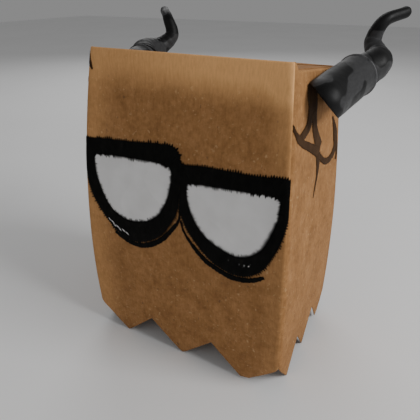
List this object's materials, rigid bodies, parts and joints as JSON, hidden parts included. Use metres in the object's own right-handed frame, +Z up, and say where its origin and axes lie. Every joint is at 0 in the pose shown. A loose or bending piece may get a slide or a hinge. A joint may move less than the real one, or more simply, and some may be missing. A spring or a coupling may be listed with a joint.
{
  "type": "paper bag puppet",
  "caption": "Hand puppet made from an upturned kraft paper bag with a zigzag hem, drawn half-moon eyes and two curled horns pinned to its sides.",
  "frame": {"origin": "middle of the bag's open end, in the plane of the hem's tooth tips, on the centre line of the bag's own width and depth", "axes": "+Z up, from the open end to the closed top; the face looks along -Y; +X to the right as seen from in front"},
  "size_m": [0.1955, 0.1424, 0.2313],
  "materials": {
    "kraft_paper": "matte unbleached kraft with fine fibres and creases",
    "eye_white": "matte greyish white, drawn",
    "black_marker": "satin black marker ink on paper",
    "brown_ink": "dark brown ink on paper",
    "horn_black": "semi-gloss black, rubbed grey on top",
    "horn_rim_grey": "semi-gloss dark grey",
    "card": "matte grey-brown card",
    "brass": "polished, slightly worn"
  },
  "bodies": {
    "bag": {"front_panel": "kraft_paper", "back_panel": "kraft_paper", "left_side_panel": "kraft_paper", "right_side_panel": "kraft_paper", "back_seam_lap": "kraft_paper", "top_front_flap": "kraft_paper", "top_back_flap": "kraft_paper", "top_tuck_left": "kraft_paper", "top_tuck_right": "kraft_paper", "eye_white_left": "eye_white", "eye_outline_left": "black_marker", "under_eye_stroke_left": "black_marker", "crack_ink_left": "brown_ink", "backing_disc_left": "card", "paper_fastener_left": "brass", "eye_white_right": "eye_white", "eye_outline_right": "black_marker", "under_eye_stroke_right": "black_marker", "crack_ink_right": "brown_ink", "backing_disc_right": "card", "paper_fastener_right": "brass"},
    "horn_left": {"horn_sleeve_left": "horn_black", "horn_rim_left": "horn_rim_grey", "horn_ring_left": "horn_black", "horn_curl_left": "horn_black", "horn_base_disc_left": "card"},
    "horn_right": {"horn_sleeve_right": "horn_black", "horn_rim_right": "horn_rim_grey", "horn_ring_right": "horn_black", "horn_curl_right": "horn_black", "horn_base_disc_right": "card"}
  },
  "joints": [
    {"name": "horn_right_swivel", "type": "hinge", "parent": "bag", "child": "horn_right", "pos_m": [0.06755, 0.01, 0.187], "axis": [0.9947, 0, 0.1025], "continuous": true},
    {"name": "horn_left_swivel", "type": "hinge", "parent": "bag", "child": "horn_left", "pos_m": [-0.06785, 0.01, 0.184], "axis": [-0.9947, 0, 0.1025], "continuous": true}
  ]
}
